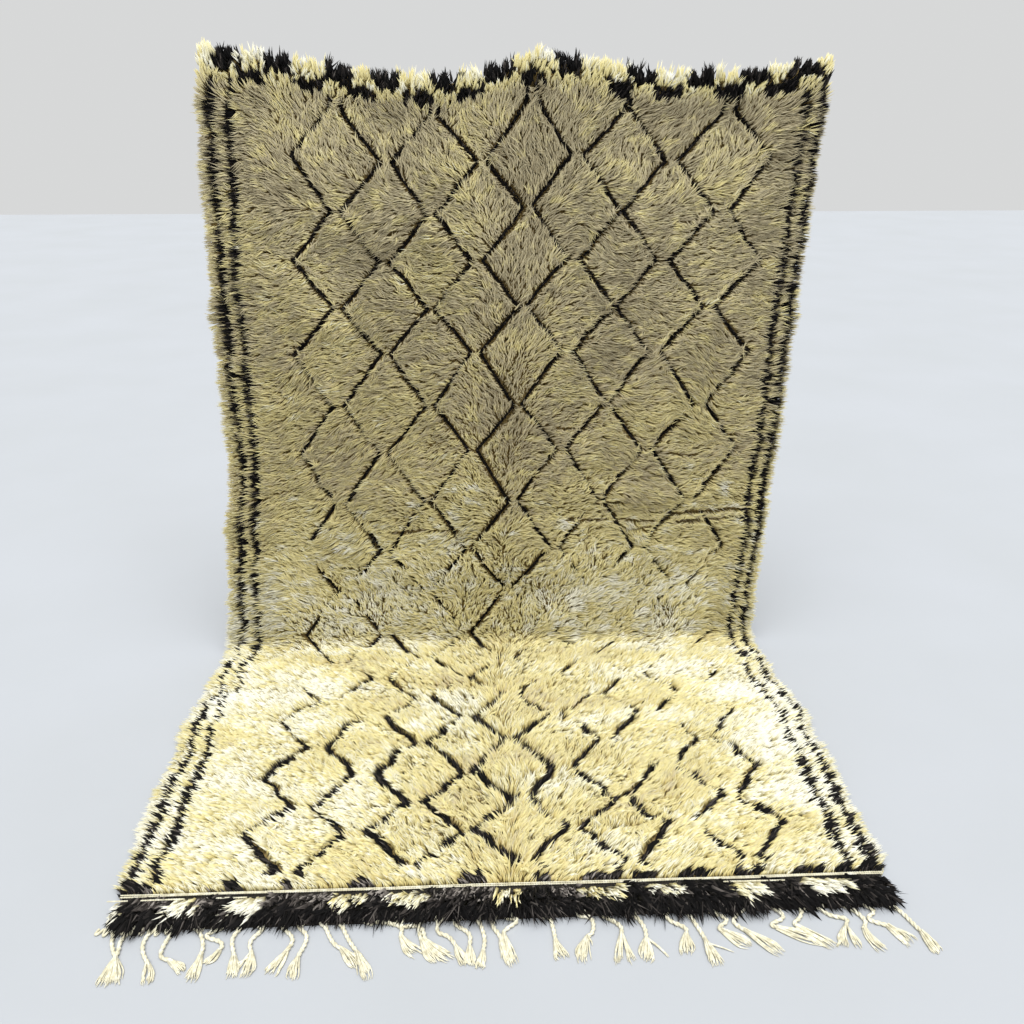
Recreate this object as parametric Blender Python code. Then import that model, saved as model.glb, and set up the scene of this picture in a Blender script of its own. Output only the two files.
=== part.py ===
"""Berber shag rug, held up by its top edge, with its lower end lying on the floor.

The rug is first modelled flat, as it comes off the loom: x runs across it, s runs along it
from the top edge to the fringed end, and h is the height above the back of the cloth. Each
point is then laid in place: down the hanging part, round the bend and out along the floor.
The origin is the middle of the flat underside that lies on the floor. +X is the rug's right
side, +Y its back, +Z up, and the fringe points towards -Y. Metres throughout.
"""
import math

import bmesh
import bpy
from mathutils import Vector, noise

# ---- driving sizes ----
WIDTH = 1.53              # woven width, edge to edge of the cloth
TOP_HEIGHT = 1.619        # height of the cloth's edge at the places where it is held
FLOOR_RUN = 1.095         # from the plane of the hanging back to the cut end of the pile
BEND_RADIUS = 0.06        # of the cloth's back where the rug turns onto the floor
THICKNESS = 0.032         # cloth and pile together, between the lumps
LUMP = 0.008              # how far the clumps of pile stand above or below that
GAP = 0.0003              # between two pieces that touch

# ---- how it hangs ----
SIDE_DRIFT = 0.067        # the top is carried this far to the right of the foot
HOLD_X = (-0.765, 0.055, 0.765)     # the three places where the top edge is held
HOLD_DROP = (0.0, 0.008, 0.015)    # how much lower than TOP_HEIGHT each of them is
SAG_DEPTH = (0.066, 0.048)          # of the top edge between one hold and the next
SAG_SKEW = (1.6, 1.1)               # over 1 moves the lowest place towards the second hold
SAG_FADE = 0.30           # distance down the rug over which the sag dies out
CREASE_X = 0.012          # the old storage fold that runs down the middle
CREASE_RISE = 0.030
CREASE_REACH = 0.065
CREASE_END = 0.9          # distance down the rug at which it starts to die out

# Soft folds of the hanging part: where, how far each reaches, and how far it stands out.
FOLD_COLUMNS = ("x", "s", "reach_x", "reach_s", "rise")
FOLDS = (
    (-0.42, 0.10, 0.26, 0.22, -0.020),
    (0.42, 0.12, 0.24, 0.20, -0.016),
    (-0.60, 0.55, 0.16, 0.45, 0.010),
    (0.55, 0.60, 0.14, 0.50, 0.012),
    (0.42, 1.13, 0.34, 0.022, 0.010),
    (0.36, 1.19, 0.30, 0.020, -0.007),
    (-0.05, 1.34, 0.42, 0.045, 0.012),
    (0.00, 1.44, 0.50, 0.040, -0.006),
)

# Ripples of the pile across the part that lies on the floor: distance from the bend's end.
RIPPLE_COLUMNS = ("run", "reach", "rise")
RIPPLES = ((0.10, 0.035, 0.006), (0.20, 0.030, -0.005), (0.38, 0.040, 0.006), (0.47, 0.030, -0.005))
RUN_CREASE_RISE = 0.004   # of the pile over the storage fold, on the floor

# Half-width of the rug against the woven one, along s / length: folds gather it higher up.
WIDTH_COLUMNS = ("share", "factor")
WIDTHS = (
    (0.0, 0.990), (0.25, 0.985), (0.50, 0.990), (0.60, 0.990),
    (0.75, 1.033), (0.90, 1.030), (1.0, 1.022),
)

# ---- pile and its locks ----
COLUMNS = 28              # faces across the width
HANG_ROWS = 30            # faces down the hanging part
BEND_ROWS = 6
FLOOR_ROWS = 20
PARTING = 0.062           # from the cut end to the row where the pile parts over a twined cord
PARTING_WIDTH = 0.012
PARTING_LEVEL = 0.45      # of the full thickness
ROUNDING = 0.009          # how far the pile draws in over the cloth's edge
RIM_LEVEL = 0.84          # of the thickness, along the rim
LOCK_LENGTH = 0.021
LOCK_INSET = 0.006
LOCK_SWAY = 0.012
LOCK_LOW = 0.42           # of the thickness: no lock's tip lies lower
SHORTEST_WALL = 0.030     # of the rim, that carries a lock

# ---- end strip and tassels ----
STRIP_DEPTH = 0.020
STRIP_THICKNESS = 0.005
CORD = 0.008
KNOT_WIDTH = 0.014
KNOT_HEIGHT = 0.011
KNOT_LENGTH = 0.012
KNOT_RINGS = ((0.5, 1.0), (1.0, 0.8))      # share of its length, share of its full size
CORD_STEPS = 5
TUFT_HEIGHT = 0.007
TIP_HEIGHT = 0.0015
BELLY = 0.8               # spread of a tuft half way along, against its spread at the tips
MM = 0.001
TINY = 0.0001
# Tassels, in mm: root across the rug, sideways sway of the cord, its knot, its tip, both as
# a place across the rug and a reach from the strip, and the spread of the tuft.
TASSEL_COLUMNS = ("root", "sway", "knot_x", "knot_reach", "tip_x", "tip_reach", "spread")
TASSELS = (
    (-761, -3, -751, 70, -760, 135, 9), (-736, 2, -728, 80, -720, 137, 9),
    (-695, -14, -680, 88, -668, 135, 8), (-652, -16, -640, 78, -612, 112, 9),
    (-606, 4, -592, 76, -597, 132, 9), (-562, 11, -563, 58, -570, 102, 8),
    (-534, -7, -524, 76, -519, 126, 8), (-490, 5, -489, 68, -491, 132, 14),
    (-442, 9, -434, 72, -448, 125, 10), (-409, 4, -404, 76, -410, 140, 10),
    (-364, -5, -329, 74, -312, 112, 9), (-332, 2, -293, 88, -274, 144, 10),
    (-262, 8, -226, 42, -200, 90, 13), (-214, 6, -176, 64, -148, 106, 10),
    (-176, 3, -139, 68, -119, 106, 8), (-137, -6, -103, 84, -92, 116, 7),
    (-100, 3, -78, 82, -70, 122, 8), (-62, 1, -52, 92, -51, 130, 8),
    (-31, 0, -20, 74, -21, 114, 8), (1, 8, 5, 70, 13, 122, 10),
    (67, 4, 87, 68, 100, 112, 11), (143, 13, 150, 58, 139, 122, 12),
    (186, 3, 212, 64, 215, 128, 15), (246, 4, 262, 64, 263, 124, 17),
    (311, 4, 336, 50, 336, 112, 12), (355, 4, 372, 64, 384, 134, 13),
    (401, 8, 416, 54, 450, 104, 10), (466, -13, 463, 58, 498, 116, 11),
    (533, -5, 524, 48, 561, 98, 15), (585, -5, 573, 48, 614, 100, 12),
    (630, 5, 656, 54, 652, 106, 12), (681, 7, 690, 64, 712, 122, 11),
    (724, -9, 738, 56, 772, 102, 12), (762, 2, 795, 82, 806, 126, 10),
)

# ---- places worked out from the sizes ----
BEND_START = TOP_HEIGHT - BEND_RADIUS
BEND_END = BEND_START + BEND_RADIUS * math.pi / 2
FLAT_LENGTH = BEND_END + FLOOR_RUN - BEND_RADIUS
BACK_Y = (FLOOR_RUN + BEND_RADIUS) / 2     # so that the origin is the middle of what lies flat
FRONT_Y = BACK_Y - FLOOR_RUN
STRIP_FRONT_Y = FRONT_Y - GAP - STRIP_DEPTH
PARTING_S = FLAT_LENGTH - PARTING


def fade(value, start, end):
    """0 before start, 1 past end, smooth between."""
    t = min(1.0, max(0.0, (value - start) / (end - start)))
    return t * t * (3.0 - 2.0 * t)


def bump(value, centre, reach):
    return math.exp(-((value - centre) / reach) ** 2)


def read_off(table, key):
    """A value between the rows of a two-column table."""
    for (low, a), (high, b) in zip(table, table[1:]):
        if key <= high:
            return a + (b - a) * max(0.0, key - low) / (high - low)
    return table[-1][1]


def top_drop(x):
    """How far below TOP_HEIGHT the top edge is: straight between the holds, and the sag."""
    for i, depth in enumerate(SAG_DEPTH):
        if x <= HOLD_X[i + 1] or i == len(SAG_DEPTH) - 1:
            t = min(1.0, max(0.0, (x - HOLD_X[i]) / (HOLD_X[i + 1] - HOLD_X[i])))
            straight = HOLD_DROP[i] + (HOLD_DROP[i + 1] - HOLD_DROP[i]) * t
            return straight + depth * (1.0 - abs(2.0 * t ** SAG_SKEW[i] - 1.0) ** 1.8)
    return 0.0


def stand_out(x, s):
    """How far the hanging cloth stands out towards the front: the crease and the folds."""
    crease = CREASE_RISE * math.exp(-(abs(x - CREASE_X) / CREASE_REACH) ** 1.4)
    crease *= 1.0 - fade(s, CREASE_END, BEND_START)
    folds = sum(rise * bump(x, fx, rx) * bump(s, fs, rs) for fx, fs, rx, rs, rise in FOLDS)
    return (crease + folds) * (1.0 - fade(s, BEND_START - 0.08, BEND_START))


def pile_height(x, s):
    """Height of the pile's lumpy face above the back of the cloth."""
    height = THICKNESS + LUMP * 1.6 * noise.noise(Vector((x * 11.0, s * 11.0, 0.5)))
    height += LUMP * 0.8 * noise.noise(Vector((x * 27.0, s * 27.0, 4.5)))
    run = s - BEND_END
    if run > 0.0:
        height += sum(rise * bump(run, place, reach) for place, reach, rise in RIPPLES)
        height += RUN_CREASE_RISE * bump(x, CREASE_X, CREASE_REACH)
    return height


def lay(x, s, h):
    """A point of the flat rug, put where it hangs or lies."""
    if s < BEND_START:
        out, down = 0.0, s
        normal = (-1.0, 0.0)
    elif s < BEND_END:
        angle = (s - BEND_START) / BEND_RADIUS
        out = BEND_RADIUS * (1.0 - math.cos(angle))
        down = BEND_START + BEND_RADIUS * math.sin(angle)
        normal = (-math.cos(angle), math.sin(angle))
    else:
        out, down = BEND_RADIUS + (s - BEND_END), TOP_HEIGHT
        normal = (0.0, 1.0)
    lift = h + stand_out(x, s)
    sag = top_drop(x) * math.exp(-max(0.0, s) / SAG_FADE) * (1.0 - fade(s, 1.2, 1.5))
    across = x * read_off(WIDTHS, s / FLAT_LENGTH) + SIDE_DRIFT * (1.0 - down / TOP_HEIGHT)
    return Vector((across, BACK_Y - out + normal[0] * lift, TOP_HEIGHT - down - sag + normal[1] * lift))


def row_stations():
    """Distances along the rug of the slab's rows, close together in the bend and at the parting."""
    rows = [BEND_START * i / HANG_ROWS for i in range(HANG_ROWS)]
    rows += [BEND_START + (BEND_END - BEND_START) * i / BEND_ROWS for i in range(BEND_ROWS)]
    floor_length = PARTING_S - PARTING_WIDTH - BEND_END
    rows += [BEND_END + floor_length * i / FLOOR_ROWS for i in range(FLOOR_ROWS + 1)]
    return rows + [PARTING_S, PARTING_S + PARTING_WIDTH, FLAT_LENGTH]


def material(name, colour, roughness):
    made = bpy.data.materials.new(name)
    made.use_nodes = True
    shader = made.node_tree.nodes["Principled BSDF"]
    shader.inputs["Base Color"].default_value = (*colour, 1.0)
    shader.inputs["Roughness"].default_value = roughness
    shader.inputs["Metallic"].default_value = 0.0
    return made


def finished(bm, name, finish):
    bmesh.ops.recalc_face_normals(bm, faces=bm.faces[:])
    mesh = bpy.data.meshes.new(name)
    bm.to_mesh(mesh)
    bm.free()
    mesh.materials.append(finish)
    piece = bpy.data.objects.new(name, mesh)
    bpy.context.scene.collection.objects.link(piece)
    return piece


def flat_slab(bm, stations):
    """The rug as it lies flat: a grid for its back, extruded up to the pile's lumpy face."""
    rows = len(stations) - 1
    bmesh.ops.create_grid(bm, x_segments=COLUMNS, y_segments=rows, size=0.5)
    for v in bm.verts:
        v.co.x *= WIDTH
        v.co.y = stations[round((v.co.y + 0.5) * rows)]
    top = bmesh.ops.extrude_face_region(bm, geom=bm.faces[:])
    for v in (g for g in top["geom"] if isinstance(g, bmesh.types.BMVert)):
        x, s = v.co.x, v.co.y
        at_side = abs(x) > WIDTH / 2 - TINY
        at_end = s < TINY or s > FLAT_LENGTH - TINY
        v.co.z = pile_height(x, s)
        if abs(s - PARTING_S) < TINY:
            v.co.z *= PARTING_LEVEL
        if at_side or at_end:
            v.co.z *= RIM_LEVEL
        if at_side:
            v.co.x -= math.copysign(ROUNDING, x)
        if at_end:
            v.co.y += math.copysign(ROUNDING, FLAT_LENGTH / 2 - s)


def is_rim(face):
    """A wall of the slab, and not one of the narrow ones in the bend or at the parting."""
    face.normal_update()
    foot = max((e.calc_length() for e in face.edges if max(v.co.z for v in e.verts) < TINY), default=0.0)
    return abs(face.normal.z) < 0.5 and foot > SHORTEST_WALL


def add_rim_locks(bm):
    """Each wall face round the rim is drawn in and pulled out to one lock of pile."""
    bmesh.ops.recalc_face_normals(bm, faces=bm.faces[:])
    walls = [f for f in bm.faces if is_rim(f)]
    bmesh.ops.inset_individual(bm, faces=walls, thickness=LOCK_INSET, use_even_offset=True)
    for wall in walls:
        outward = Vector((wall.normal.x, wall.normal.y, 0.0)).normalized()
        along = Vector((-outward.y, outward.x, 0.0))
        middle = wall.calc_center_median()
        sway = LOCK_SWAY * noise.noise(middle * 31.0)
        length = LOCK_LENGTH * (1.0 + 0.25 * noise.noise(middle * 17.0))
        tip = bmesh.ops.poke(bm, faces=[wall])["verts"][0]
        tip.co = middle + outward * length + along * sway
        tip.co.z = max(tip.co.z, THICKNESS * LOCK_LOW)


def rug_shag():
    bm = bmesh.new()
    flat_slab(bm, row_stations())
    add_rim_locks(bm)
    for v in bm.verts:
        v.co = lay(*v.co)
        if v.co.z < TINY:
            v.co.z = 0.0
    underside = [f for f in bm.faces if all(v.co.z == 0.0 for v in f.verts)]
    bmesh.ops.dissolve_faces(bm, faces=underside, use_verts=False)
    return finished(bm, "rug_shag", material("ivory_wool_pile", (0.72, 0.62, 0.42), 0.95))


def ring_at(place, heading, width, height):
    """The four corners of a cord's square section, resting on the floor."""
    side = Vector((-heading.y, heading.x, 0.0)).normalized() * (width / 2)
    up = Vector((0.0, 0.0, height))
    return (place - side, place + side, place + side + up, place - side + up)


def cord_route(row):
    """Places along a tassel's cord, from the strip's edge to the knot."""
    places = []
    for i in range(CORD_STEPS + 1):
        t = i / CORD_STEPS
        x = row["root"] + (row["knot_x"] - row["root"]) * fade(t, 0.0, 1.0)
        x += row["sway"] * math.sin(math.pi * t)
        places.append(Vector((x, STRIP_FRONT_Y - row["knot_reach"] * t, 0.0)))
    return places


def move_ring(face, corners):
    """The corners of an extruded face go to the nearest of the new ring's corners."""
    verts = list(face.verts)
    middle_x = sum(v.co.x for v in verts) / 4
    middle_z = sum(v.co.z for v in verts) / 4
    for v in verts:
        left = v.co.x < middle_x
        low = v.co.z < middle_z
        v.co = corners[(0 if left else 1) if low else (3 if left else 2)]


def extrude_face(bm, face):
    return bmesh.ops.extrude_discrete_faces(bm, faces=[face])["faces"][0]


def part_in_three(bm, cap):
    """A square face parted into three triangles that meet in the middle of its top edge."""
    top_edge = max(cap.edges, key=lambda e: e.verts[0].co.z + e.verts[1].co.z)
    new = bmesh.ops.subdivide_edges(bm, edges=[top_edge], cuts=1)["geom_inner"]
    middle = next(g for g in new if isinstance(g, bmesh.types.BMVert))
    parts = [cap]
    for low in [v for v in cap.verts if v.co.z < TINY]:
        whole = next(f for f in parts if low in f.verts and len(f.verts) > 3)
        parts.append(bmesh.utils.face_split(whole, low, middle)[0])
    return parts


def tuft_locks(bm, cap, row, knot_end):
    """Each third of the knot's end face is drawn out to a lock that ends in a point."""
    tip = Vector((row["tip_x"], STRIP_FRONT_Y - row["tip_reach"], 0.0))
    side = Vector((knot_end.y - tip.y, tip.x - knot_end.x, 0.0)).normalized()
    for face in part_in_three(bm, cap):
        offset = (face.calc_center_median() - knot_end).dot(side)
        share = max(-1.0, min(1.0, offset / (KNOT_WIDTH / 4)))
        end = extrude_face(bm, face)
        shift = knot_end.lerp(tip, 0.5) + side * share * row["spread"] * BELLY - end.calc_center_median()
        for v in end.verts:
            v.co += Vector((shift.x, shift.y, 0.0))
            v.co.z = min(v.co.z, TUFT_HEIGHT)
        point = bmesh.ops.poke(bm, faces=[end])["verts"][0]
        point.co = tip + side * share * row["spread"]
        point.co.z = TIP_HEIGHT


def fringe_strip():
    """The flat-woven end of the rug, with the warp ends twisted and knotted into tassels."""
    bm = bmesh.new()
    bmesh.ops.create_cube(bm, size=1.0)
    bmesh.ops.scale(bm, vec=(WIDTH * WIDTHS[-1][1], STRIP_DEPTH, STRIP_THICKNESS), verts=bm.verts)
    middle = Vector((0.0, STRIP_FRONT_Y + STRIP_DEPTH / 2, STRIP_THICKNESS / 2))
    bmesh.ops.translate(bm, vec=middle, verts=bm.verts)
    rows = [dict(zip(TASSEL_COLUMNS, (value * MM for value in tassel))) for tassel in TASSELS]
    for row in rows:
        for edge_x in (row["root"] - CORD / 2, row["root"] + CORD / 2):
            bmesh.ops.bisect_plane(bm, geom=bm.verts[:] + bm.edges[:] + bm.faces[:],
                                   plane_co=(edge_x, 0, 0), plane_no=(1, 0, 0), dist=TINY / 100)
    bmesh.ops.recalc_face_normals(bm, faces=bm.faces[:])
    for row in rows:
        face = next(f for f in bm.faces if f.normal.y < -0.9
                    and abs(f.calc_center_median().x - row["root"]) < CORD / 4)
        places = cord_route(row)
        for before, place in zip(places, places[1:]):
            face = extrude_face(bm, face)
            move_ring(face, ring_at(place, place - before, CORD, CORD))
        heading = (places[-1] - places[-2]).normalized()
        for along, size in KNOT_RINGS:
            face = extrude_face(bm, face)
            place = places[-1] + heading * KNOT_LENGTH * along
            move_ring(face, ring_at(place, heading, KNOT_WIDTH * size, KNOT_HEIGHT * size))
        tuft_locks(bm, face, row, places[-1] + heading * KNOT_LENGTH)
    return finished(bm, "fringe_strip", material("ivory_wool_warp", (0.80, 0.74, 0.58), 0.9))


def main():
    for thing in list(bpy.data.objects):
        bpy.data.objects.remove(thing, do_unlink=True)
    rug_shag()
    fringe_strip()


main()
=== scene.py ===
"""Looks of a Berber shag rug, held up by its top edge, its lower end lying on the floor.

Pieces: the knotted ground cloth, its pile of wool locks, the twined cord in the parting near
the fringed end, the flat-woven end strip, and the twisted tassels with their tufts.
The rug is worked out flat: x runs across it, s along it from the top edge to the fringed end,
and h is the height above the back of the cloth. lay() then puts each point where it hangs or
lies. Metres throughout, +Z up, the fringe towards -Y.
"""
import math
from types import SimpleNamespace

import bmesh
import bpy
import numpy as np
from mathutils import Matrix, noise


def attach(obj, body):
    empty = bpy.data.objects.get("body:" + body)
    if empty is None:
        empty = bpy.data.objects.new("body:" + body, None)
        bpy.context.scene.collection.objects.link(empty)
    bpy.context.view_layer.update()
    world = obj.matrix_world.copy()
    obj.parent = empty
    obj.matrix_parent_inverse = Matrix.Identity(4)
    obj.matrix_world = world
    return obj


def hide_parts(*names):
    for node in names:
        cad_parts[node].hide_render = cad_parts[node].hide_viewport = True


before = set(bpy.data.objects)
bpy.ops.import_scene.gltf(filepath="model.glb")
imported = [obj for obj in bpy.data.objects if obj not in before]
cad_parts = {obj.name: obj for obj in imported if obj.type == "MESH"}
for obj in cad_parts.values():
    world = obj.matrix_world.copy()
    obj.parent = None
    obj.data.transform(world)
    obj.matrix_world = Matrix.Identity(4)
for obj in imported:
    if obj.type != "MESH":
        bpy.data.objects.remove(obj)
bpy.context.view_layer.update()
SEED = 7
MM = 0.001

# ---- sizes of the rug, as it is built ----
WIDTH = 1.53  # woven width, edge to edge of the cloth
TOP_HEIGHT = 1.619  # height of the cloth's edge at the places where it is held
FLOOR_RUN = 1.095  # from the plane of the hanging back to the cut end of the pile
BEND_RADIUS = 0.06  # of the cloth's back where the rug turns onto the floor
CLOTH_THICKNESS = 0.003
THICKNESS = 0.032  # cloth and pile together, between the lumps
LUMP = 0.008  # how far the clumps of pile stand above or below that
GAP = 0.0003
SIDE_DRIFT = 0.067  # the top is carried this far to the right of the foot
HOLD_X = (-0.765, 0.055, 0.765)
HOLD_DROP = (0.0, 0.008, 0.015)
SAG_DEPTH = (0.066, 0.048)
SAG_SKEW = (1.6, 1.1)
SAG_FADE = 0.30
CREASE_X = 0.012  # the old storage fold that runs down the middle
CREASE_RISE = 0.030
CREASE_REACH = 0.065
CREASE_END = 0.9
# Soft folds of the hanging part: x, s, reach in x, reach in s, how far it stands out.
FOLDS = (
    (-0.42, 0.10, 0.26, 0.22, -0.020), (0.42, 0.12, 0.24, 0.20, -0.016),
    (-0.60, 0.55, 0.16, 0.45, 0.010), (0.55, 0.60, 0.14, 0.50, 0.012),
    (0.42, 1.13, 0.34, 0.022, 0.010), (0.36, 1.19, 0.30, 0.020, -0.007),
    (-0.05, 1.34, 0.42, 0.045, 0.012), (0.00, 1.44, 0.50, 0.040, -0.006),
)
# Ripples of the pile on the floor: distance from the bend's end, reach, rise.
RIPPLES = ((0.10, 0.035, 0.006), (0.20, 0.030, -0.005), (0.38, 0.040, 0.006), (0.47, 0.030, -0.005))
RUN_CREASE_RISE = 0.004
# Width of the rug against the woven one: share of its length, factor.
WIDTHS = (
    (0.0, 0.990), (0.25, 0.985), (0.50, 0.990), (0.60, 0.990),
    (0.75, 1.033), (0.90, 1.030), (1.0, 1.022),
)
PARTING = 0.062  # from the cut end to the row where the pile parts over a twined cord
STRIP_DEPTH = 0.020
STRIP_THICKNESS = 0.005
BEND_START = TOP_HEIGHT - BEND_RADIUS
BEND_END = BEND_START + BEND_RADIUS * math.pi / 2
FLAT_LENGTH = BEND_END + FLOOR_RUN - BEND_RADIUS
BACK_Y = (FLOOR_RUN + BEND_RADIUS) / 2
FRONT_Y = BACK_Y - FLOOR_RUN
STRIP_FRONT_Y = FRONT_Y - GAP - STRIP_DEPTH
PARTING_S = FLAT_LENGTH - PARTING
CORD_HEIGHT = 0.0145  # of the twined cord above the back of the cloth
# Where a second cord shows through the black pile in front of the first: from x, to x.
SHOWN_CORDS = ((-0.78, -0.74), (-0.715, -0.63), (-0.57, -0.51), (0.43, 0.555))
HALF = WIDTH / 2

# ---- pile ----
KNOT_PITCH = 0.00475  # from one lock to the next, across the rug and along it
RIM_PITCH = 0.0034  # the same along the four edges, where extra locks thicken the pile
LOCK_LENGTH = 0.039
LOCK_RADIUS = 0.0015  # half the width of a lock of the field
RIM_RADIUS = 0.0020
STEM = 0.40  # share of a lock that rises from its root before it lies over
ROOT_HEIGHT = 0.0025  # of the roots above the back of the cloth
TUFT_PITCH = 0.014  # locks whose tips lean together
GATHER = 0.5  # how far a tuft's tips are drawn together
PAINTED_SIDE_SHADE = 0.03  # painted shading: one side of a lock is this much paler than the other, as if that side faced the light
SOFTNESS = 1.2  # how much a lock's shading takes after the cloth behind it
FLOOR_SOFTNESS = 0.6
FLOOR_START = BEND_END - 0.02
PILE_PIECES = 5  # each under 200,000 triangles

# ---- drawing, knotted into the pile ----
# Zigzag lines that run down the rug, neighbours in turn: the middle line of each.
NET_LINES = (-0.507, -0.382, -0.258, -0.139, -0.020, 0.099, 0.228, 0.338, 0.472, 0.606)
FLOOR_LINES = (-0.500, -0.373, -0.246, -0.128, -0.018, 0.088, 0.205, 0.313, 0.438, 0.556)
# Places along the rug where every zigzag turns.
NET_TURNS = (
    0.095, 0.222, 0.352, 0.480, 0.602, 0.724, 0.868, 1.000, 1.150, 1.296, 1.430, 1.570,
    1.702, 1.800, 1.910, 2.006, 2.120, 2.243, 2.362, 2.456, 2.572, 2.680,
)
NET_SWING = 0.049
NET_CELL = 0.122  # from one line of the net to the next, at the sides
NET_WIDTH = 0.0030  # half the width of a line, at its thinnest
NET_STEP = 0.0026  # from one black lock to the next along a line
NET_THICK = 0.0068  # half the width of a line, near the fringed end
GROOVE = 0.010  # how far from a line the pile leans away from it
FAR_GROOVE = 0.010  # how much farther where it would lie over the line
# Two dashed stripes down each side: share of the length, then where each stripe lies.
STRIPES = (
    (0.0, -0.736, -0.690, 0.752, 0.712), (0.15, -0.732, -0.690, 0.750, 0.712),
    (0.38, -0.724, -0.684, 0.744, 0.708), (0.57, -0.724, -0.682, 0.738, 0.700),
    (1.0, -0.736, -0.690, 0.735, 0.688),
)
STRIPE_WIDTH = 0.0080
EDGE_DRAW = 0.021  # the left edge curls in by this about the middle of the hanging part
CORNER_DRAW = 0.016  # the right top corner is pulled out by this
# Dark blocks of the two rows along the top edge, and of the rows each side of the parting.
BLOCK = 0.066
EDGE_ROW = 0.032
EDGE_DARKS = (-0.700, -0.575, -0.435, -0.320, -0.182, -0.040, 0.130, 0.310, 0.460, 0.590, 0.700)
SECOND_DARKS = (-0.640, -0.505, -0.375, -0.235, -0.112, 0.040, 0.255, 0.380, 0.530, 0.655, 0.770)
# Dark blocks before the parting and light ones past it: place and width.
LAST_DARKS = (
    (-0.735, 0.066), (-0.562, 0.076), (-0.430, 0.030), (-0.293, 0.044), (-0.063, 0.056), (0.064, 0.044),
    (0.187, 0.086), (0.275, 0.054), (0.377, 0.056), (0.492, 0.058), (0.615, 0.062), (0.711, 0.100),
)
FRONT_LIGHTS = (
    (-0.622, 0.048), (-0.497, 0.066), (-0.300, 0.070), (-0.188, 0.070), (0.005, 0.046),
    (0.185, 0.080), (0.308, 0.070), (0.475, 0.070), (0.628, 0.085),
)
# Level partings where the pile has slumped and opened: s, from x, to x, half width, how plain.
SLUMPS = (
    (0.949, 0.08, 0.24, 0.0016, 0.8), (1.019, 0.34, 0.66, 0.0015, 0.7), (1.160, 0.26, 0.46, 0.0016, 0.9),
    (1.192, 0.42, 0.73, 0.0020, 1.1), (1.214, 0.16, 0.70, 0.0021, 1.1), (1.236, 0.24, 0.52, 0.0016, 0.9),
    (1.240, -0.32, -0.06, 0.0018, 0.9), (1.335, -0.40, 0.46, 0.0016, 0.7),
)

# Tassels, in mm: the root across the rug, two bends of the cord, the end of the cord and the tip
# of its tuft, each as a place across the rug and a reach from the strip, and the tuft's spread.
TASSEL_COLUMNS = (
    "root", "bend_x", "bend", "turn_x", "turn", "end_x", "end", "tip_x", "tip", "spread",
)
TASSELS = (
    (-771, -766, 28, -756, 52, -743, 75, -726, 132, 9), (-741, -749, 28, -747, 52, -748, 75, -753, 135, 9),
    (-698, -704, 30, -698, 58, -681, 87, -670, 134, 8), (-653, -662, 36, -661, 68, -639, 81, -611, 108, 8),
    (-612, -600, 18, -589, 48, -588, 75, -593, 132, 9), (-561, -586, 22, -556, 40, -556, 66, -577, 90, 5),
    (-525, -535, 30, -529, 58, -524, 75, -519, 126, 8), (-489, -484, 12, -499, 40, -491, 72, -500, 126, 15),
    (-443, -441, 10, -421, 38, -429, 72, -450, 123, 12), (-411, -408, 12, -394, 38, -405, 88, -407, 138, 9),
    (-365, -360, 8, -341, 48, -318, 69, -288, 110, 8), (-331, -324, 16, -309, 48, -291, 78, -270, 141, 10),
    (-279, -250, 2, -215, 16, -213, 42, -171, 90, 12), (-216, -210, 14, -176, 18, -163, 57, -113, 102, 13),
    (-175, -177, 16, -175, 36, -169, 57, -141, 105, 8), (-138, -139, 30, -118, 46, -102, 75, -85, 114, 7),
    (-103, -103, 16, -80, 40, -79, 75, -77, 117, 7), (-63, -57, 18, -50, 54, -54, 90, -60, 126, 6),
    (-33, -31, 24, -22, 42, -17, 60, -4, 114, 8), (-1, 14, 10, -8, 32, -12, 48, 3, 123, 11),
    (66, 79, 4, 85, 36, 87, 66, 99, 108, 11), (143, 162, 12, 160, 44, 144, 60, 135, 120, 11),
    (186, 192, 8, 216, 32, 215, 57, 213, 126, 17), (246, 259, 24, 264, 48, 262, 69, 252, 123, 11),
    (311, 318, 22, 342, 42, 341, 60, 336, 111, 12), (354, 363, 24, 372, 56, 377, 78, 384, 138, 12),
    (401, 428, 24, 410, 44, 419, 54, 460, 93, 11), (465, 447, 22, 446, 38, 462, 57, 514, 116, 13),
    (537, 542, 24, 517, 40, 527, 52, 600, 84, 13), (588, 577, 24, 562, 40, 567, 52, 621, 102, 11),
    (624, 639, 22, 665, 34, 657, 54, 652, 105, 19), (680, 693, 18, 701, 42, 690, 60, 714, 117, 10),
    (723, 728, 18, 713, 36, 747, 57, 775, 101, 13), (762, 780, 16, 795, 56, 804, 78, 815, 129, 8),
)
# Strands that stray from a tuft: from and to, across the rug and as a reach.
STRAYS = (
    (264, 66, 297, 111), (378, 84, 423, 106), (652, 58, 624, 102), (150, 56, 157, 76), (-496, 80, -518, 92),
)
# Loops of warp that peep out beside the tassels: place, reach, lean.
LOOPS = (
    (-797, 8, -7), (-784, 12, -4), (-757, 9, 3), (-733, 10, -5), (-722, 12, 5), (-684, 15, -4),
    (-665, 12, -3), (-604, 6, 3), (-577, 7, -2), (-276, 4, 6), (-268, 6, -5), (-244, 3, 4), (676, 6, 8),
)


# ---- the rug's shape ----
def fade(value, start, end):
    """0 before start, 1 past end, smooth between."""
    t = np.clip((value - start) / (end - start), 0.0, 1.0)
    return t * t * (3.0 - 2.0 * t)


def bump(value, centre, reach):
    """1 at the centre, fading to nothing on both sides past the reach."""
    return np.exp(-((value - centre) / reach) ** 2)


def read_off(table, key, column=1):
    """Values between the rows of a short table whose first column rises."""
    rows = np.array(table)
    return np.interp(key, rows[:, 0], rows[:, column])


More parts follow.
